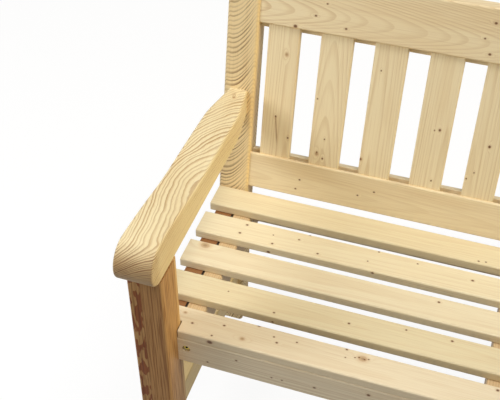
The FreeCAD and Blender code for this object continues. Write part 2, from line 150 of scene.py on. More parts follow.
def nearest_knot(finish, turn, heart, knots):
    """How far the nearest knot is, with 1 at its rim, and how far the grain that it bends, with 1 at its end.

    The values below shrink a distance, so that a knot is longer along its branch and along the grain than
    across it, and the bent grain reaches further still.
    """
    along_branch = 0.4
    along_knot = 0.8
    across_bend = 0.4
    along_bend = 0.16
    body = None
    bend = None
    for spot, way, radius in knots:
        offset = finish.vector("SUBTRACT", finish.log, turn.transposed() @ (Vector(spot) - Vector(heart)))
        run = turn.transposed() @ Vector(way)
        near = [along_branch / radius if abs(part) > 0.5 else 1.0 / radius for part in run]
        knot_scale = (near[0], near[1], near[2] * along_knot)
        bend_scale = (near[0] * across_bend, near[1] * across_bend, near[2] * along_bend)
        to_knot = finish.length(finish.vector("MULTIPLY", offset, knot_scale))
        to_bend = finish.length(finish.vector("MULTIPLY", offset, bend_scale))
        body = to_knot if body is None else body.math("MINIMUM", to_knot)
        bend = to_bend if bend is None else bend.math("MINIMUM", to_bend)
    return body, bend


def late_wood(finish, ring, run_out, bow, wobble, wave, bends, seed):
    """1 in the dark late wood of a year's ring and 0 in the pale wood between.

    The rings sway along the log and step aside round knots. Years differ in width and in strength, and in
    patches all of them are weak.
    """
    sway_grains = 9.0
    knot_push = 1.6
    uneven_pace = 0.31
    uneven_years = 1.3
    faintest_year = 0.4
    weakest_patch = 0.5
    patch_grains = (22.0, 22.0, 3.5)
    sway = finish.noise(finish.log, (sway_grains, sway_grains, wave), seed, 4.0, "Color")
    drift = finish.vector("SUBTRACT", sway, (0.5, 0.5, 0.5))
    bent = finish.vector("ADD", finish.log, finish.vector("MULTIPLY", drift, (wobble, wobble, 0.0)))
    finish.from_heart = finish.length(finish.vector("MULTIPLY", bent, (1.0, 1.0, 0.0)))
    far = finish.part(finish.log, "Z")
    reach = finish.from_heart + far * run_out + far * far * bow
    for bend in bends:
        if bend is not None:
            reach = reach + bend.rise(1.0, 0.0) * (knot_push * ring)
    growth = {"W": reach / ring * uneven_pace + seed, "Scale": 1.0}
    uneven = finish.node("ShaderNodeTexNoise", {"noise_dimensions": "1D"}, growth)
    year = reach / ring + uneven * uneven_years
    season = year.math("FRACT")
    autumn = season.rise(0.4, 0.87) * season.rise(1.0, 0.93)
    year_number = {"W": year.math("FLOOR") + seed}
    luck = finish.node("ShaderNodeTexWhiteNoise", {"noise_dimensions": "1D"}, year_number)
    strength = luck * (1.0 - faintest_year) + faintest_year
    patches = finish.noise(finish.log, patch_grains, seed + 3.0, 1.0).rise(0.3, 0.6)
    return autumn * strength * (patches * (1.0 - weakest_patch) + weakest_patch)


def stain(finish, wood, distance, zones):
    """Lays the zones of a knot over the wood; each is (starts at, full at, share, colour, way of mixing)."""
    for start, full, share, colour, way in zones:
        wood = finish.mix(distance.rise(start, full) * share, wood, shade(*colour), way)
    return wood


def pine(name, along, across, heart, *, ring, run_out, bold, wobble, early, seed, late=(208, 170, 112),
         wave=1.5, bow=0.0, fade=None, clouds=0.25, knots=(), eyes=(), ridge=0.25):
    """Planed pine as it comes from the log: rings round a heart line, fibres along it, branches as knots.

    along and across are the board's own directions, heart a point of the tree's middle line, ring the
    width of a year and bold the strength of its dark part. The rings drift off along the board by run_out,
    more and more with bow, sway by wobble in so many waves per metre, and pale away between the two
    distances of fade. early and late are the colours of pale and dark wood, and clouds says how much slow
    brown blotches show. A knot is (place, direction it runs in, radius); eyes are paler knots of sound
    wood. ridge is the relief of the rings, and seed makes each board differ.
    """
    cloud_grains = (16.0, 16.0, 2.6)
    cloud_brown = shade(222, 190, 136)
    fibre_grains = (650.0, 650.0, 11.0)
    fibre_brown = shade(196, 160, 108)
    fibre_share = 0.2
    fibre_relief = 0.12
    end_brown = shade(176, 142, 98)
    end_share = 0.6
    planed_roughness = 0.58
    eye_ragged = 0.5
    eye_zones = (
        (2.0, 0.9, 0.25, (206, 164, 108), "MULTIPLY"),
        (1.1, 0.7, 0.5, (182, 142, 96), "MIX"),
        (0.6, 0.2, 0.45, (146, 112, 76), "MIX"),
    )
    knot_ragged = 0.6
    knot_zones = (
        (2.2, 0.9, 0.2, (186, 138, 84), "MULTIPLY"),
        (1.15, 0.75, 0.75, (148, 104, 62), "MIX"),
        (0.85, 0.45, 0.85, (88, 54, 26), "MIX"),
    )
    finish = Finish(bpy.data.materials.new(name))
    finish.place = finish.node("ShaderNodeTexCoord", {}, {}, "Object")
    along = Vector(along).normalized()
    across = (Vector(across) - along * along.dot(Vector(across))).normalized()
    turn = Matrix((across, along.cross(across), along)).transposed()
    into_log = {"Vector": finish.place, "Location": heart, "Rotation": turn.to_euler()}
    finish.log = finish.node("ShaderNodeMapping", {"vector_type": "TEXTURE"}, into_log)
    knot_body, knot_bend = nearest_knot(finish, turn, heart, knots)
    eye_body, eye_bend = nearest_knot(finish, turn, heart, eyes)

    band = late_wood(finish, ring, run_out, bow, wobble, wave, (knot_bend, eye_bend), seed)
    if fade is not None:
        band = band * finish.from_heart.rise(fade[1], fade[0])
    fibre = finish.noise(finish.log, fibre_grains, seed, 3.0)
    blotch = finish.noise(finish.log, cloud_grains, seed + 7.0, 2.0)
    normal = finish.node("ShaderNodeNewGeometry", {}, {}, "Normal")
    end_grain = finish.dot(normal, tuple(along)).math("ABSOLUTE").rise(0.55, 0.98)

    wood = finish.mix(band * bold, shade(*early), shade(*late))
    wood = finish.mix(blotch.rise(0.45, 0.75) * clouds, wood, cloud_brown, "MULTIPLY")
    wood = finish.mix(fibre.rise(0.42, 0.75) * fibre_share, wood, fibre_brown, "MULTIPLY")
    wood = finish.mix(end_grain * end_share, wood, end_brown, "MULTIPLY")
    if eyes:
        wood = stain(finish, wood, eye_body + (fibre - 0.5) * eye_ragged, eye_zones)
    if knots:
        wood = stain(finish, wood, knot_body + (fibre - 0.5) * knot_ragged, knot_zones)
    relief = {"Strength": 0.5, "Distance": 0.0012, "Height": band * ridge + fibre * fibre_relief}
    bump = finish.node("ShaderNodeBump", {}, relief)
    finish.surface(Roughness=planed_roughness - band * 0.1 + (fibre - 0.5) * 0.15, Normal=bump)
    finish.band = band
    finish.colour = wood
    return finish


def dress(node, finish):
    """Gives a piece that keeps its CAD shape its own finish."""
    finish.surface(Base_Color=finish.colour)
    slots = nodes[node].data.materials
    slots.clear()
    slots.append(finish.owner)


def inner_face(low, high, sign):
    """The x of a side piece's face towards the seat."""
    return high.x if sign < 0.0 else low.x


def outer_face(low, high, sign):
    """The x of a side piece's face away from the seat."""
    return low.x if sign < 0.0 else high.x


up = Vector((0.0, 0.0, 1.0))
rightward = Vector((1.0, 0.0, 0.0))
backward = Vector((0.0, 1.0, 0.0))
sides = (("left", -1.0), ("right", 1.0))

streak_inset = 0.015
streak_depth = 0.004
streak_rim = 0.016
streak_core = 0.012
streak_pale = shade(190, 152, 102)
streak_red = shade(130, 62, 20)
island_grains = (88.0, 88.0, 30.0)
leg_highlight_width = 0.008
leg_highlight_tan = shade(206, 168, 116)
rear_highlight_start = 0.017
rear_highlight_full = 0.009
rear_highlight_yellow = shade(234, 200, 144)
dash_grains = (420.0, 420.0, 9.0)
dash_brown = shade(168, 136, 98)
dark_wood_gloss = 0.2

for side, sign in sides:
    name = side + "_front_leg"
    low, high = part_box(name)
    inner = inner_face(low, high, sign)
    heart = (outer_face(low, high, sign) - sign * streak_inset, low.y + streak_depth, 0.0)
    leg = pine(name, up, rightward, heart, ring=0.0062, run_out=0.012, bold=0.35, wobble=0.012,
               early=(187, 143, 92), late=(144, 99, 61), seed=3.0 + sign)
    leg.surface(Specular_IOR_Level=dark_wood_gloss)
    islands = leg.noise(leg.log, island_grains, 5.0 + sign, 1.5).rise(0.54, 0.48)
    streak = leg.from_heart.rise(streak_rim, streak_core)
    leg.colour = leg.mix(streak * 0.5, leg.colour, streak_pale)
    leg.colour = leg.mix(streak * islands * 0.85, leg.colour, streak_red)
    # Painted highlight: the inner face and the edge beside it are painted paler tan.
    inner_face_highlight = leg.part(leg.place, "X").rise(inner + sign * leg_highlight_width, inner)
    leg.colour = leg.mix(inner_face_highlight * 0.4, leg.colour, leg_highlight_tan)
    # Painted highlight: the rear edge of the leg is painted pale yellow.
    rear_edge_highlight = leg.part(leg.place, "Y").rise(high.y - rear_highlight_start, high.y - rear_highlight_full)
    leg.colour = leg.mix(rear_edge_highlight * 0.8, leg.colour, rear_highlight_yellow)
    dashes = leg.noise(leg.log, dash_grains, 8.0 + sign, 3.0).rise(0.45, 0.62)
    leg.colour = leg.mix(dashes * 0.7, leg.colour, dash_brown, "MULTIPLY")
    dress(name, leg)


# Rear posts
# Each is one piece sawn from a wide plank with a slight bend under the seat. The saw cuts across the
# rings at a low angle, so the front shows bold nested arcs. The back rails are bolted between them.

rake = math.radians(11.0)
uphill = Vector((0.0, math.sin(rake), math.cos(rake)))
rearward = Vector((0.0, math.cos(rake), -math.sin(rake)))
seat_height = 0.44
post_front_at_seat = 0.19882
back_pivot = Vector((0.0, post_front_at_seat, seat_height))
post_heart_inset = 0.014
post_heart_depth = 0.065

for side, sign in sides:
    name = side + "_rear_post"
    low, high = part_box(name)
    outer = outer_face(low, high, sign)
    heart = back_pivot + rightward * (outer - sign * post_heart_inset) + rearward * post_heart_depth
    post = pine(name, uphill, rightward, heart, ring=0.0037, run_out=-0.34, bold=0.95, wobble=0.010, wave=3.0,
                early=(247, 224, 175), late=(114, 66, 25), fade=(0.074, 0.092), ridge=0.6, seed=11.0 + sign)
    post.surface(Specular_IOR_Level=dark_wood_gloss)
    dress(name, post)


# Armrests
# Thick sculpted pieces with a rounded nose, a scooped top and a taper at the post, shaped on a spindle
# moulder and sanded. Dowelled to the leg below and to the post behind.

arm_heart_beside = 0.045
arm_heart_height = 0.54
arm_grain_skew = 0.08
arm_eye_inset = 0.036
arm_eye_back = 0.212
arm_eye_drop = 0.026
arm_eye_radius = 0.0035
nose_start = 0.050
nose_full = 0.012
nose_end_grain_and_shade = shade(206, 184, 154)
nose_ring_brown = shade(112, 74, 42)

for side, sign in sides:
    name = side + "_armrest"
    low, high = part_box(name)
    inner = inner_face(low, high, sign)
    heart = (inner - sign * arm_heart_beside, low.y, arm_heart_height)
    grain = (sign * arm_grain_skew, 1.0, 0.0)
    eye_spot = (inner + sign * arm_eye_inset, arm_eye_back, high.z - arm_eye_drop)
    arm = pine(name, grain, rightward, heart, ring=0.0032, run_out=-0.05, bold=0.85, wobble=0.012, wave=9.0,
               bow=0.32, early=(246, 231, 189), late=(172, 124, 64), eyes=((eye_spot, up, arm_eye_radius),),
               ridge=0.8, seed=21.0 + sign)
    nose = arm.part(arm.place, "Y").rise(low.y + nose_start, low.y + nose_full)
    # The nose is darkened, partly for its end grain and partly as painted shade.
    arm.colour = arm.mix(nose * 0.45, arm.colour, nose_end_grain_and_shade, "MULTIPLY")
    arm.colour = arm.mix(nose * arm.band * 0.7, arm.colour, nose_ring_brown)
    dress(name, arm)


# Side rails and low stretchers
# One planed timber section, dowelled between leg and post. Its top, under the slats, is darkened, partly as a
# stain and partly as painted shade of the slats, and painted shade darkens the groove where it meets the seat
# bearer.

def paint_groove_shade(finish, x):
    """Painted shade in the narrow groove between two timbers that meet at x."""
    groove_edge = 0.0036
    groove_floor = 0.0022
    groove_shade_colour = shade(30, 22, 14)
    groove = (finish.part(finish.place, "X") - x).math("ABSOLUTE").rise(groove_edge, groove_floor)
    finish.colour = finish.mix(groove * 0.95, finish.colour, groove_shade_colour)


rail_heart_inset = 0.03
rail_heart_below = 0.05
stretcher_heart_below = 0.04
top_shade_start = 0.010
top_shade_full = 0.002
top_stain_and_shade_brown = shade(124, 76, 40)

for side, sign in sides:
    name = side + "_side_rail"
    low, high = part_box(name)
    heart = (low.x + rail_heart_inset, 0.0, low.z - rail_heart_below)
    rail = pine(name, backward, rightward, heart, ring=0.0045, run_out=0.01, bold=0.5, wobble=0.006,
                early=(182, 136, 86), late=(146, 98, 56), seed=31.0 + sign)
    # Partly stain, partly painted shade: the rail's top under the slats is darkened.
    top_stain_and_shade = rail.part(rail.place, "Z").rise(high.z - top_shade_start, high.z - top_shade_full)
    rail.colour = rail.mix(top_stain_and_shade * 0.6, rail.colour, top_stain_and_shade_brown)
    # Painted shade in the groove where the rail meets the bearer.
    paint_groove_shade(rail, inner_face(low, high, sign))
    dress(name, rail)

    name = side + "_low_stretcher"
    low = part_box(name)[0]
    heart = (low.x + rail_heart_inset, 0.0, low.z - stretcher_heart_below)
    dress(name, pine(name, backward, rightward, heart, ring=0.0045, run_out=0.01, bold=0.5, wobble=0.006,
                     early=(250, 226, 168), late=(216, 176, 112), seed=33.0 + sign))


# Side frame dowels
# Turned beech pins with chamfered ends, glued into the joints of leg, armrest, side rail, stretcher and
# post. None of them shows.

def beech(name, along, seed):
    """Close-grained hardwood with short dark flecks."""
    fleck_grains = (900.0, 900.0, 900.0)
    fleck_brown = shade(170, 126, 90)
    finish = pine(name, along, rightward, (0.0, 0.0, 0.0), ring=0.0016, run_out=0.01, bold=0.4, wobble=0.002,
                  early=(224, 188, 148), late=(204, 164, 122), ridge=0.1, seed=seed)
    flecks = finish.noise(finish.place, fleck_grains, seed, 1.0).rise(0.6, 0.7)
    finish.colour = finish.mix(flecks * 0.4, finish.colour, fleck_brown)
    return finish


dress("side_frame_dowels", beech("side_frame_dowels", backward, 37.0))


# Seat bearers
# Planed timbers that carry the slats: two lie against the side rails and one is in the middle. Their colour
# is painted darker and duller than the slats', as the shade that they lie in under the slats.

bearer_heart_beside = 0.03
bearer_heart_above = 0.05

for place in ("left", "middle", "right"):
    name = place + "_seat_bearer"
    low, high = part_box(name)
    heart = (low.x - bearer_heart_beside, 0.0, high.z + bearer_heart_above)
    # Painted shade: the bearers' colours are darker than the slats', for the shade under the slats.
    bearer = pine(name, backward, rightward, heart, ring=0.004, run_out=0.01, bold=0.5, wobble=0.006,
                  early=(222, 196, 154), late=(186, 152, 110), seed=41.0 + low.x)
    # The end bearers get the same painted groove shade on the side against their rail.
    if place == "left":
        paint_groove_shade(bearer, low.x)
    elif place == "right":
        paint_groove_shade(bearer, high.x)
    dress(name, bearer)


# Aprons
# Boards that close the seat at the front and at the back, of duller, greyer wood than the slats. Both are
# counterbored for the bolts that draw the bearers up.

def face_knots(marks, corner, along, across, way):
    """Knots on a board's face, from marks (along, across, radius) in millimetres that count from a corner."""
    knots = []
    for run, over, radius in marks:
        spot = corner + along * (run / 1000.0) + across * (over / 1000.0)
        knots.append((spot, way, radius / 1000.0))
    return knots


apron_knots = (
    (-533, 48, 2.2), (-599, 80, 2.0), (-454, 74, 1.9), (-431, 74, 1.9), (-360, 69, 2.6), (-246, 45, 3.6),
)
apron_heart_behind = 0.04
apron_heart_below = 0.02
weather_grains = (240.0, 240.0, 3.0)
weather_grey = shade(196, 176, 150)

for place in ("front", "rear"):
    name = place + "_apron"
    low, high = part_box(name)
    face = low.y if place == "front" else high.y
    heart = (0.0, high.y + apron_heart_behind, low.z - apron_heart_below)
    knots = face_knots(apron_knots, Vector((0.0, face, seat_height)), rightward, -up, backward)
    apron = pine(name, rightward, up, heart, ring=0.0042, run_out=0.004, bold=0.5, wobble=0.008,
                 early=(253, 241, 214), late=(220, 194, 160), knots=knots, seed=51.0 + low.y)
    streaks = apron.noise(apron.log, weather_grains, 52.0, 3.0).rise(0.4, 0.7)
    apron.colour = apron.mix(streaks * 0.35, apron.colour, weather_grey, "MULTIPLY")
    dress(name, apron)


# Seat slats
# Planed boards with rounded edges over the whole length, screwed from below through the bearers. The
# front one is notched round the legs. Small branches of the young tree show as a scatter of pin knots.

def stray_knots(seed, count, span, width, least, most):
    """Knots of a board's unseen part: (along, across, radius) in millimetres, the same on each run."""
    edge = 4.0
    chance = random.Random(seed)
    return [(chance.uniform(*span), chance.uniform(edge, width - edge), chance.uniform(least, most))
            for _ in range(count)]


slat_knots = (
    ((-642, 30, 2.5), (-575, 45, 2.4), (-504, 68, 3.0), (-591, 11, 2.0), (-465, 49, 1.9), (-415, 50, 1.9),
     (-311, 65, 2.4), (-309, 44, 1.6), (-455, 36, 2.4), (-290, 50, 1.6), (-282, 53, 2.0), (-270, 51, 1.9),
     (-262, 54, 1.6)),
    ((-599, 40, 1.6), (-485, 13, 2.2), (-324, 35, 2.5)),
    (),
    ((-627, 54, 2.7), (-635, 23, 2.7), (-558, 41, 1.5), (-552, 13, 2.5), (-496, 45, 2.3), (-475, 68, 2.5),
     (-443, 15, 2.4), (-328, 28, 1.6), (-310, 65, 2.0)),
    (),
)
slat_eyes = (
    ((-667, 53, 3.5), (-527, 23, 4.5), (-274, 52, 8.0)),
    (),
    ((-698, 58, 9.0),),
    (),
    (),
)
slat_front_knots = (
    ((-592, 10, 5.5),),
    ((-484, 16, 2.4),),
    (),
    ((-557, 17, 3.4), (-310, 5, 2.8)),
    (),
)
slat_colours = ((243, 229, 199), (237, 224, 187), (246, 234, 202), (248, 236, 202), (242, 229, 192))
slat_count = 5

for index in range(slat_count):
    name = "seat_slat_%d" % (index + 1)
    low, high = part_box(name)
    heart_across = 0.02 + 0.012 * index
    heart_below = 0.05 + 0.01 * (index % 3)
    heart = (0.0, low.y + heart_across, low.z - heart_below)
    front_edge = Vector((0.0, low.y, high.z))
    marks = list(slat_knots[index])
    marks += stray_knots(index, count=7, span=(-230.0, 690.0), width=70.0, least=1.4, most=3.0)
    knots = face_knots(marks, front_edge, rightward, backward, up)
    knots += face_knots(slat_front_knots[index], front_edge, rightward, -up, backward)
    marks = list(slat_eyes[index])
    marks += stray_knots(index + 20, count=1, span=(-100.0, 690.0), width=60.0, least=6.0, most=9.0)
    eyes = face_knots(marks, front_edge, rightward, backward, up)
    dress(name, pine(name, rightward, backward, heart, ring=0.0042, run_out=0.006, bold=0.2, wobble=0.008,
                     early=slat_colours[index], clouds=0.08, knots=knots, eyes=eyes, seed=61.0 + index))


# Slat screws
# Flat-headed wood screws of yellow-zinc steel, driven up through pockets in the bearers, so that none
# shows from above. Each has a cross recess, a threaded shank and a sharp point.

def plated(name, tint, tarnish, seed):
    """Zinc-plated steel: a thin coat that varies in tone, with fine scratches and dull patches."""
    cloud_grains = (170.0, 170.0, 170.0)
    scratch_grains = (2600.0, 2600.0, 2600.0)
    metal_share = 0.6
    least_dull = 0.32
    finish = Finish(bpy.data.materials.new(name))
    place = finish.node("ShaderNodeTexCoord", {}, {}, "Object")
    cloud = finish.noise(place, cloud_grains, seed, 2.0)
    scratches = finish.noise(place, scratch_grains, seed + 1.0, 2.0)
    colour = finish.mix(cloud.rise(0.38, 0.68), tint, tarnish)
    bump = finish.node("ShaderNodeBump", {}, {"Strength": 0.3, "Distance": 0.0002, "Height": scratches})
    dullness = least_dull + cloud * 0.15 + scratches * 0.1
    finish.surface(Base_Color=colour, Metallic=metal_share, Roughness=dullness, Normal=bump)
    return finish.owner


def rod(name, radius, depth, sides_round):
    """A plain round bar standing under z = 0, the start of each turned piece of hardware."""
    bpy.ops.object.select_all(action="DESELECT")
    bpy.ops.mesh.primitive_cylinder_add(vertices=sides_round, radius=radius, depth=depth,
                                        location=(0.0, 0.0, -depth / 2.0))
    bpy.ops.object.transform_apply(location=True, rotation=True, scale=True)
    piece = bpy.context.object
    piece.name = name
    return piece


def pick_faces(piece, wanted):
    """Selects, in edit mode, the faces of a piece for which wanted(middle, normal) holds."""
    bpy.ops.object.mode_set(mode="EDIT")
    bpy.ops.mesh.select_mode(type="FACE")
    bpy.ops.mesh.select_all(action="DESELECT")
    shape = bmesh.from_edit_mesh(piece.data)
    for face in shape.faces:
        if wanted(face.calc_center_median(), face.normal):
            face.select_set(True)
    bmesh.update_edit_mesh(piece.data)


def at_end(height):
    """A test for the flat end face of a piece at a given height."""
    return lambda middle, normal: abs(middle.z - height) < 0.0001 and abs(normal.z) > 0.9


def grow(height, widen):
    """Extrudes the picked end face upwards and widens or narrows it about the piece's own axis."""
    bpy.ops.mesh.extrude_region_move(TRANSFORM_OT_translate={"value": (0.0, 0.0, height)})
    bpy.ops.transform.resize(value=(widen, widen, 1.0), center_override=(0.0, 0.0, 0.0))


def thread(pitch, turns, depth):
    """Thread ridges, as a row of shallow grooves along a shank."""
    flank = pitch * 0.35
    crest = pitch * 0.3
    for _ in range(turns):
        grow(flank, 1.0 - depth)
        grow(flank, 1.0 / (1.0 - depth))
        grow(crest, 1.0)


def take_up(piece):
    """Makes a piece the only one that is selected, in object mode."""
    bpy.ops.object.mode_set(mode="OBJECT")
    bpy.ops.object.select_all(action="DESELECT")
    bpy.context.view_layer.objects.active = piece
    piece.select_set(True)


def cut(piece, cutter):
    """Cuts the shape of another object out of a piece and removes that object."""
    take_up(piece)
    bpy.ops.object.modifier_add(type="BOOLEAN")
    piece.modifiers[-1].object = cutter
    bpy.ops.object.modifier_apply(modifier=piece.modifiers[-1].name)
    bpy.data.objects.remove(cutter)


def cut_hole(piece, corners, radius, length, height, turn=(0.0, 0.0, 0.0)):
    """Cuts a hole whose middle is at a height on the piece's axis; one with six corners takes a key."""
    bpy.ops.mesh.primitive_cylinder_add(vertices=corners, radius=radius, depth=length,
                                        location=(0.0, 0.0, height), rotation=turn)
    cut(piece, bpy.context.object)


def cut_slot(piece, width, length, depth, height):
    """Cuts a slot whose middle is at a height on the piece's axis."""
    bpy.ops.mesh.primitive_cube_add(size=1.0, scale=(width, length, depth), location=(0.0, 0.0, height))
    cut(piece, bpy.context.object)


def smooth():
    """Shades the piece in hand smooth, apart from its sharp edges."""
    bpy.ops.object.mode_set(mode="OBJECT")
    bpy.ops.object.shade_smooth_by_angle(angle=math.radians(35.0))


def soften(piece, width):
    """Breaks the sharp edges of a turned piece and shades the rest smooth."""
    take_up(piece)
    bpy.ops.object.modifier_add(type="BEVEL")
    rounding = piece.modifiers[-1]
    rounding.width = width
    rounding.segments = 2
    rounding.limit_method = "ANGLE"
    rounding.angle_limit = math.radians(50.0)
    bpy.ops.object.modifier_apply(modifier=rounding.name)
    smooth()


def shade_recess(piece, mouth, radius):
    """Gives the faces of a key recess, in from its mouth, the piece's second material: dark oil and painted
    shade.
    """
    lip = 0.0001
    deepest = 0.0055
    for face in piece.data.polygons:
        inside = mouth + lip < face.center.z < mouth + deepest
        if inside and face.center.xy.length < radius:
            face.material_index = 1


def fit(master, node, places, materials):
    """Copies a finished fastener to each place, given as (point, direction), and lets it stand for a node."""
    for number, (point, direction) in enumerate(places):
        turn = Vector(direction).to_track_quat("Z", "Y").to_matrix().to_4x4()
        mesh = master.data.copy()
        mesh.transform(Matrix.Translation(Vector(point)) @ turn)
        for material in materials:
            mesh.materials.append(material)
        piece = bpy.data.objects.new("%s_%d" % (node, number + 1), mesh)
        bpy.context.scene.collection.objects.link(piece)
        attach(piece, "root")
        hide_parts(node)
    bpy.data.objects.remove(master)


screw_head_height = 0.003


def slat_screw():
    """A wood screw: the head with its cross recess under z = 0, the shank upwards from there."""
    head_radius = 0.00425
    head_rim = 0.0003
    shank_radius = 0.00225
    plain_length = 0.014
    tip_length = 0.004
    tip_share = 0.35
    point_length = 0.0022
    point_share = 0.1
    recess_width = 0.0011
    recess_length = 0.0042
    recess_depth = 0.0032
    screw = rod("slat_screw", head_radius, screw_head_height, sides_round=16)
    pick_faces(screw, at_end(0.0))
    bpy.ops.mesh.inset(thickness=head_radius - shank_radius)
    grow(plain_length, 1.0)
    thread(pitch=0.0022, turns=14, depth=0.22)
    grow(tip_length, tip_share)
    grow(point_length, point_share)
    soften(screw, head_rim)
    cut_slot(screw, recess_width, recess_length, recess_depth, -screw_head_height)
    cut_slot(screw, recess_length, recess_width, recess_depth, -screw_head_height)
    shade_recess(screw, -screw_head_height, radius=0.0022)
    return screw


yellow_zinc = plated("yellow_zinc_plating", (0.92, 0.83, 0.20), (0.80, 0.66, 0.14), 95.0)
# Partly oil, partly painted shade: the key recesses of screws, bolts and nuts are near black.
recess_oil_and_shade = plated("oily_and_shaded_key_recess", (0.05, 0.045, 0.03), (0.03, 0.028, 0.02), 97.0)
screw_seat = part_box("seat_slat_screws")[0].z + screw_head_height
screw_rows = (-0.6615, 0.014, 0.6615)
slat_middles = []
for index in range(slat_count):
    low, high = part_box("seat_slat_%d" % (index + 1))
    slat_middles.append((low.y + high.y) / 2.0)
screw_places = []
for x in screw_rows:
    for y in slat_middles:
        screw_places.append(((x, y, screw_seat), up))
fit(slat_screw(), "seat_slat_screws", screw_places, (yellow_zinc, recess_oil_and_shade))


# Apron bolts and barrel nuts
# Yellow-zinc bolts with hexagon-socket heads sit in the counterbores of both aprons, and each draws up a
# barrel nut that lies across its bearer. One head shows in the picture.

bolt_head_radius = 0.0065
bolt_head_height = 0.008
barrel_nut_radius = 0.006


def socket_bolt(grip):
    """An M8 bolt: a round head with a hexagon socket under z = 0, the shank upwards from there."""
    shank_radius = 0.004
    head_rim = 0.0007
    socket_radius = 0.00346
    socket_length = 0.010
    pitch = 0.00125
    turns = 16
    chamfer = 0.0012
    chamfer_share = 0.75
    bolt = rod("socket_bolt", bolt_head_radius, bolt_head_height, sides_round=32)
    soften(bolt, head_rim)
    cut_hole(bolt, 6, socket_radius, socket_length, -bolt_head_height)
    shade_recess(bolt, -bolt_head_height, radius=0.0036)
    pick_faces(bolt, at_end(0.0))
    bpy.ops.mesh.inset(thickness=bolt_head_radius - head_rim - shank_radius)
    grow(grip - turns * pitch - chamfer, 1.0)
    thread(pitch, turns, depth=0.12)
    grow(chamfer, chamfer_share)
    smooth()
    return bolt


def barrel_nut():
    """A round bar with a threaded hole across its middle and a slot in one end to turn it by."""
    length = 0.022
    end_rim = 0.0008
    bore_radius = 0.0043
    bore_length = 0.03
    across = (0.0, math.pi / 2.0, 0.0)
    slot_width = 0.0016
    slot_length = 0.014
    slot_depth = 0.004
    nut = rod("barrel_nut", barrel_nut_radius, length, sides_round=32)
    nut.data.transform(Matrix.Translation((0.0, 0.0, length / 2.0)))
    soften(nut, end_rim)
    cut_hole(nut, 24, bore_radius, bore_length, 0.0, across)
    cut_slot(nut, slot_width, slot_length, slot_depth, length / 2.0)
    return nut


plain_zinc = plated("plain_zinc_plating", (0.62, 0.63, 0.64), (0.50, 0.51, 0.53), 91.0)
apron_grip = 0.074
bolt_low, bolt_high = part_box("apron_bolts")
nut_low, nut_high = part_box("apron_barrel_nuts")
bolt_level = (bolt_low.z + bolt_high.z) / 2.0
bolt_row = bolt_high.x - bolt_head_radius
bolt_places = []
nut_places = []
for x in (-bolt_row, 0.0, bolt_row):
    bolt_places.append(((x, bolt_low.y + bolt_head_height, bolt_level), backward))
    bolt_places.append(((x, bolt_high.y - bolt_head_height, bolt_level), -backward))
    nut_places.append(((x, nut_low.y + barrel_nut_radius, bolt_level), rightward))
    nut_places.append(((x, nut_high.y - barrel_nut_radius, bolt_level), rightward))
fit(socket_bolt(apron_grip), "apron_bolts", bolt_places, (yellow_zinc, recess_oil_and_shade))
fit(barrel_nut(), "apron_barrel_nuts", nut_places, (plain_zinc, recess_oil_and_shade))


# Side frame bolts and sleeve nuts
# Each end bearer is held to its side rail by two yellow-zinc bolts from the inside. They screw into flanged
# sleeve nuts let into the rail's outer face.

def sleeve_nut():
    """A nut with the outer face of its flange at z = 0, a hexagon hole in it and a bored barrel upwards."""
    flange_radius = 0.008
    flange_height = 0.003
    flange_rim = 0.0006
    key_radius = 0.0029
    key_length = 0.004
    barrel_radius = 0.0055
    barrel_length = 0.027
    bore_radius = 0.0043
    bore_depth = 0.0265
    nut = rod("sleeve_nut", flange_radius, flange_height, sides_round=32)
    soften(nut, flange_rim)
    cut_hole(nut, 6, key_radius, key_length, -flange_height)
    shade_recess(nut, -flange_height, radius=0.0030)
    pick_faces(nut, at_end(0.0))
    bpy.ops.mesh.inset(thickness=flange_radius - flange_rim - barrel_radius)
    grow(barrel_length, 1.0)
    bpy.ops.mesh.inset(thickness=barrel_radius - bore_radius)
    grow(-bore_depth, 1.0)
    smooth()
    nut.data.transform(Matrix.Translation((0.0, 0.0, flange_height)))
    return nut


side_grip = 0.069
side_low, side_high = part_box("side_frame_bolts")
side_level = (side_low.z + side_high.z) / 2.0
head_place = side_high.x - side_grip
flange_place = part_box("side_frame_sleeve_nuts")[1].x
bolt_places = []
nut_places = []
for sign in (-1.0, 1.0):
    for y in (side_low.y + bolt_head_radius, side_high.y - bolt_head_radius):
        bolt_places.append(((sign * head_place, y, side_level), rightward * sign))
        nut_places.append(((sign * flange_place, y, side_level), rightward * -sign))
fit(socket_bolt(side_grip), "side_frame_bolts", bolt_places, (yellow_zinc, recess_oil_and_shade))
fit(sleeve_nut(), "side_frame_sleeve_nuts", nut_places, (plain_zinc, recess_oil_and_shade))


# Back rails
# Two wide rails between the posts, grooved for the slats, dowelled and bolted through the posts. The top
# one is flat-sawn: its rings come out of the face in long pointed arches.

top_knots = ((-518, 503, 2.0), (-541, 472, 2.5), (-471, 454, 2.4), (-585, 440, 3.8))
bottom_knots = ((-540, 54, 2.2), (-548, 27, 2.2), (-357, 64, 2.2), (-395, 46, 2.0))
rail_inset = 0.007
rail_front = back_pivot + rearward * rail_inset
rail_heart_depth = 0.05
stray_below_heart = 0.05


def back_rail(name, height, width, marks, run_out, bold):
    """One rail, with its heart at a height up the slope; stray knots lie over a width in millimetres."""
    heart = rail_front + uphill * height + rearward * rail_heart_depth
    knots = face_knots(marks, rail_front, rightward, uphill, rearward)
    stray = stray_knots(len(name), count=8, span=(-300.0, 650.0), width=width, least=1.6, most=3.4)
    band_foot = rail_front + uphill * (height - stray_below_heart)
    knots += face_knots(stray, band_foot, rightward, uphill, rearward)
    dress(name, pine(name, rightward, uphill, heart, ring=0.0042, run_out=run_out, bold=bold, wobble=0.008,
                     early=(249, 232, 193), late=(208, 174, 122), knots=knots, seed=71.0 + height))


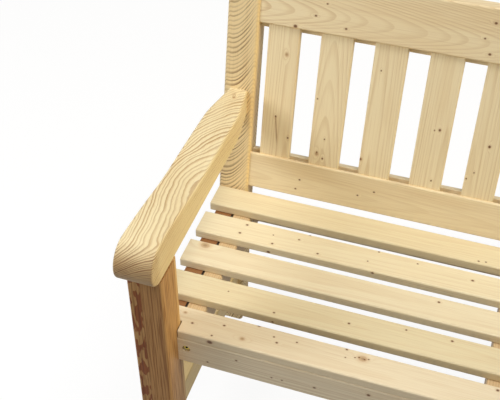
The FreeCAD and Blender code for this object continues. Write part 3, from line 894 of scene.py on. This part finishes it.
back_rail("top_back_rail", height=0.475, width=115.0, marks=top_knots, run_out=0.09, bold=0.6)
back_rail("bottom_back_rail", height=0.04, width=90.0, marks=bottom_knots, run_out=0.03, bold=0.25)


# Back slats
# Thin planed boards standing in the grooves of the back rails, free to move with the weather. A line of
# resin runs down the first one from a knot.

def resin_line(finish, start, end):
    """A thin brown line of resin on the face, from one point to another."""
    line_edge = 0.0026
    line_core = 0.0008
    resin_brown = shade(164, 118, 74)
    run = end - start
    offset = finish.vector("SUBTRACT", finish.place, tuple(start))
    beside = finish.length(finish.vector("CROSS_PRODUCT", offset, tuple(run.normalized())))
    share = finish.dot(offset, tuple(run)) / run.length_squared
    line = beside.rise(line_edge, line_core) * share.rise(0.0, 0.05) * share.rise(1.0, 0.6)
    finish.colour = finish.mix(line * 0.7, finish.colour, resin_brown)


back_knots = {
    0: ((-615, 206, 2.4), (-581, 156, 2.4)),
    1: ((-492, 172, 1.8), (-492, 120, 2.4), (-507, 134, 1.8), (-519, 272, 1.6)),
    2: ((-401, 140, 2.2), (-383, 369, 1.6)),
}
back_eyes = {0: ((-601, 366, 4.5),), 1: ((-507, 130, 4.5),), 2: ((-401, 140, 3.6),)}
back_slat_count = 11
slat_inset = 0.0152
back_front = back_pivot + rearward * slat_inset
heart_swing = 0.03
swing_step = 2.4
swing_start = 0.94
back_heart_depth = 0.05
slight_run_out = 0.010
strong_run_out = 0.045
resin_start = back_front - rightward * 0.615 + uphill * 0.206
resin_end = back_front - rightward * 0.606 + uphill * 0.125

for index in range(back_slat_count):
    name = "back_slat_%02d" % (index + 1)
    low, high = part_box(name)
    middle = back_front + rightward * ((low.x + high.x) / 2.0)
    off_middle = heart_swing * math.sin(swing_step * index + swing_start)
    heart = middle + rightward * off_middle + rearward * back_heart_depth
    run_out = strong_run_out if index % 4 == 1 else slight_run_out
    knots = face_knots(back_knots.get(index, ()), back_front, rightward, uphill, rearward)
    eyes = face_knots(back_eyes.get(index, ()), back_front, rightward, uphill, rearward)
    if index not in back_knots:
        stray = stray_knots(index + 40, count=3, span=(110.0, 420.0), width=74.0, least=1.6, most=3.4)
        knots = face_knots(stray, back_front + rightward * low.x, uphill, rightward, rearward)
    slat = pine(name, uphill, rightward, heart, ring=0.0042, run_out=run_out, bold=0.5, wobble=0.006,
                early=(251, 235, 196), late=(208, 174, 120), knots=knots, eyes=eyes, seed=81.0 + index)
    if index == 0:
        resin_line(slat, resin_start, resin_end)
    dress(name, slat)


# Back rail dowels, bolts and barrel nuts
# Beech dowels keep the rails from turning. A bolt through each post draws up a barrel nut that lies across
# the rail end. None of them shows from the front.

dress("back_rail_dowels", beech("back_rail_dowels", rightward, 38.0))

back_grip = 0.120
rail_bolt_heights = (0.056, 0.494)
rail_bolt_depth = 0.027
head_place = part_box("back_rail_bolts")[1].x - bolt_head_height
nut_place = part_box("back_rail_barrel_nuts")[1].x - barrel_nut_radius
bolt_places = []
nut_places = []
for sign in (-1.0, 1.0):
    for height in rail_bolt_heights:
        middle = back_pivot + uphill * height + rearward * rail_bolt_depth
        bolt_places.append((middle + rightward * (sign * head_place), rightward * -sign))
        nut_places.append((middle + rightward * (sign * nut_place), rearward))
fit(socket_bolt(back_grip), "back_rail_bolts", bolt_places, (yellow_zinc, recess_oil_and_shade))
fit(barrel_nut(), "back_rail_barrel_nuts", nut_places, (plain_zinc, recess_oil_and_shade))


# Floor, light and camera
# A white studio floor that keeps a faint shadow, a soft lamp overhead, two weak ones on the left, a warm
# one far off on the right for the inner faces and a faint one in front. The camera is at the photo's angle.

def seen_directly(finish):
    """1 for what the camera sees, straight or in a mirror or through glass, and 0 for light on its way."""
    share = finish.node("ShaderNodeLightPath", {}, {}, "Is Camera Ray")
    for ray in ("Is Glossy Ray", "Is Transmission Ray"):
        share = share.math("MAXIMUM", finish.node("ShaderNodeLightPath", {}, {}, ray))
    return share


floor_size = 24.0
floor_glow = 1.07
glow_share = 0.85
surround_light = 0.25

bpy.ops.object.select_all(action="DESELECT")
bpy.ops.mesh.primitive_plane_add(size=floor_size, location=(0.0, 0.0, 0.0))
floor = bpy.context.object
floor.name = "floor"
paving = Finish(bpy.data.materials.new("pale_floor"))
plain = paving.node("ShaderNodeBsdfDiffuse", {}, {"Color": (0.3, 0.3, 0.3)})
pale = paving.node("ShaderNodeBsdfDiffuse", {}, {"Color": (0.8, 0.8, 0.8)})
white = paving.node("ShaderNodeEmission", {}, {"Color": (1.0, 1.0, 1.0), "Strength": floor_glow})
bright = paving.node("ShaderNodeMixShader", {}, {0: glow_share, 1: pale, 2: white})
ground = paving.node("ShaderNodeMixShader", {}, {0: seen_directly(paving), 1: plain, 2: bright})
paving.feed(paving.tree.nodes["Material Output"].inputs["Surface"], ground)
floor.data.materials.append(paving.owner)

scene = bpy.context.scene
scene.view_settings.view_transform = "Standard"
studio = Finish(bpy.data.worlds.new("studio"))
scene.world = studio.owner
backdrop = studio.tree.nodes["Background"]
studio.feed(backdrop.inputs["Color"], (1.0, 1.0, 1.0))
strength = surround_light + seen_directly(studio) * (1.0 - surround_light)
studio.feed(backdrop.inputs["Strength"], strength)


def soft_lamp(name, place, target, width, watts, colour):
    """A round soft lamp at a place, turned to a target."""
    light = bpy.data.lights.new(name, "AREA")
    light.shape = "DISK"
    light.size = width
    light.energy = watts
    light.color = colour
    lamp = bpy.data.objects.new(name, light)
    scene.collection.objects.link(lamp)
    lamp.location = place
    lamp.rotation_euler = (Vector(target) - Vector(place)).to_track_quat("-Z", "Y").to_euler()


neutral = (1.0, 1.0, 1.0)
left_half = (-0.5, 0.0, 0.5)
soft_lamp("overhead", (0.5, -0.4, 4.2), (-0.4, 0.0, 0.5), width=1.6, watts=60.0, colour=(1.0, 0.98, 0.96))
soft_lamp("left", (-2.4, -0.9, 1.6), left_half, width=0.6, watts=11.0, colour=neutral)
soft_lamp("upper_left", (-2.3, -0.8, 2.1), left_half, width=0.6, watts=12.0, colour=neutral)
soft_lamp("right", (7.0, -0.1, 3.4), (-0.5, 0.0, 0.6), width=3.0, watts=238.0, colour=(1.0, 0.77, 0.29))
soft_lamp("front", (-0.4, -2.9, 1.2), (-0.4, 0.0, 0.5), width=1.2, watts=4.0, colour=(1.0, 0.78, 0.42))

camera_place = (-0.11643, -1.43115, 1.97209)
camera_tilt = math.radians(47.645)
camera_turn = math.radians(18.471)
camera = bpy.data.cameras.new("photo_view")
camera.sensor_fit = "HORIZONTAL"
camera.sensor_width = 36.0
camera.lens = 66.8
viewer = bpy.data.objects.new("photo_view", camera)
scene.collection.objects.link(viewer)
viewer.location = camera_place
viewer.rotation_euler = (camera_tilt, 0.0, camera_turn)
scene.camera = viewer
